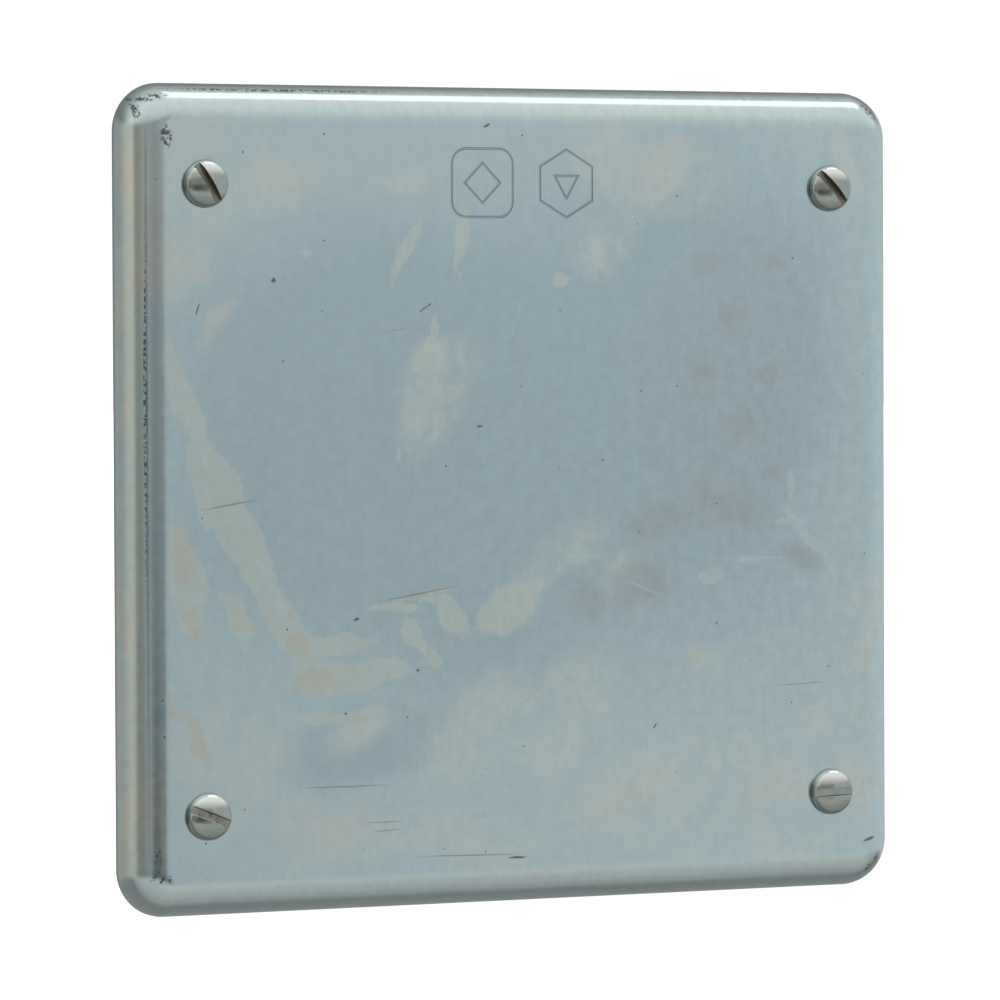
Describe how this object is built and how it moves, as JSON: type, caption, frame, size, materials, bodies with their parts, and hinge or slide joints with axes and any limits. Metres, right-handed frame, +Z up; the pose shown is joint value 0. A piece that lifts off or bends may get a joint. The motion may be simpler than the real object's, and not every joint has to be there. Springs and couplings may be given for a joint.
{
  "type": "junction box cover",
  "caption": "Flanged steel blank cover for a two-gang junction box, with a rubber gasket and captive slotted screws.",
  "frame": {"origin": "centre of the plane of the back rim, where the cover seats against its box", "axes": "+X to the right seen from the front, +Y backwards into the box, +Z up; the outer face looks towards -Y"},
  "size_m": [0.1226, 0.0147, 0.116],
  "materials": {
    "zinc_plated_sheet": "zinc plate with clear chromate, satin",
    "bright_screw_steel": "bright zinc plate, polished",
    "gasket_rubber": "matte black neoprene",
    "retainer_nylon": "natural nylon"
  },
  "bodies": {
    "root": {"cover": "zinc_plated_sheet", "gasket": "gasket_rubber"},
    "retainer_top_left": {"retainer_top_left": "retainer_nylon"},
    "screw_top_left": {"screw_top_left": "bright_screw_steel"},
    "retainer_top_right": {"retainer_top_right": "retainer_nylon"},
    "screw_top_right": {"screw_top_right": "bright_screw_steel"},
    "retainer_bottom_left": {"retainer_bottom_left": "retainer_nylon"},
    "screw_bottom_left": {"screw_bottom_left": "bright_screw_steel"},
    "retainer_bottom_right": {"retainer_bottom_right": "retainer_nylon"},
    "screw_bottom_right": {"screw_bottom_right": "bright_screw_steel"}
  },
  "joints": [
    {"name": "travel_top_left", "type": "slide", "parent": "root", "child": "retainer_top_left", "axis": [0, -1, 0], "range_m": [0, 0.00317]},
    {"name": "turn_top_left", "type": "hinge", "parent": "retainer_top_left", "child": "screw_top_left", "pos_m": [-0.0498, 0, 0.04385], "axis": [0, -1, 0], "range_deg": [0, 1440]},
    {"name": "travel_top_right", "type": "slide", "parent": "root", "child": "retainer_top_right", "axis": [0, -1, 0], "range_m": [0, 0.00317]},
    {"name": "turn_top_right", "type": "hinge", "parent": "retainer_top_right", "child": "screw_top_right", "pos_m": [0.0498, 0, 0.04385], "axis": [0, -1, 0], "range_deg": [0, 1440]},
    {"name": "travel_bottom_left", "type": "slide", "parent": "root", "child": "retainer_bottom_left", "axis": [0, -1, 0], "range_m": [0, 0.00317]},
    {"name": "turn_bottom_left", "type": "hinge", "parent": "retainer_bottom_left", "child": "screw_bottom_left", "pos_m": [-0.0498, 0, -0.04385], "axis": [0, -1, 0], "range_deg": [0, 1440]},
    {"name": "travel_bottom_right", "type": "slide", "parent": "root", "child": "retainer_bottom_right", "axis": [0, -1, 0], "range_m": [0, 0.00317]},
    {"name": "turn_bottom_right", "type": "hinge", "parent": "retainer_bottom_right", "child": "screw_bottom_right", "pos_m": [0.0498, 0, -0.04385], "axis": [0, -1, 0], "range_deg": [0, 1440]}
  ],
  "couplings": [
    {"joint": "turn_top_left", "follows": "travel_top_left", "rad_per_m": 7915.8},
    {"joint": "turn_top_right", "follows": "travel_top_right", "rad_per_m": 7915.8},
    {"joint": "turn_bottom_left", "follows": "travel_bottom_left", "rad_per_m": 7915.8},
    {"joint": "turn_bottom_right", "follows": "travel_bottom_right", "rad_per_m": 7915.8}
  ]
}
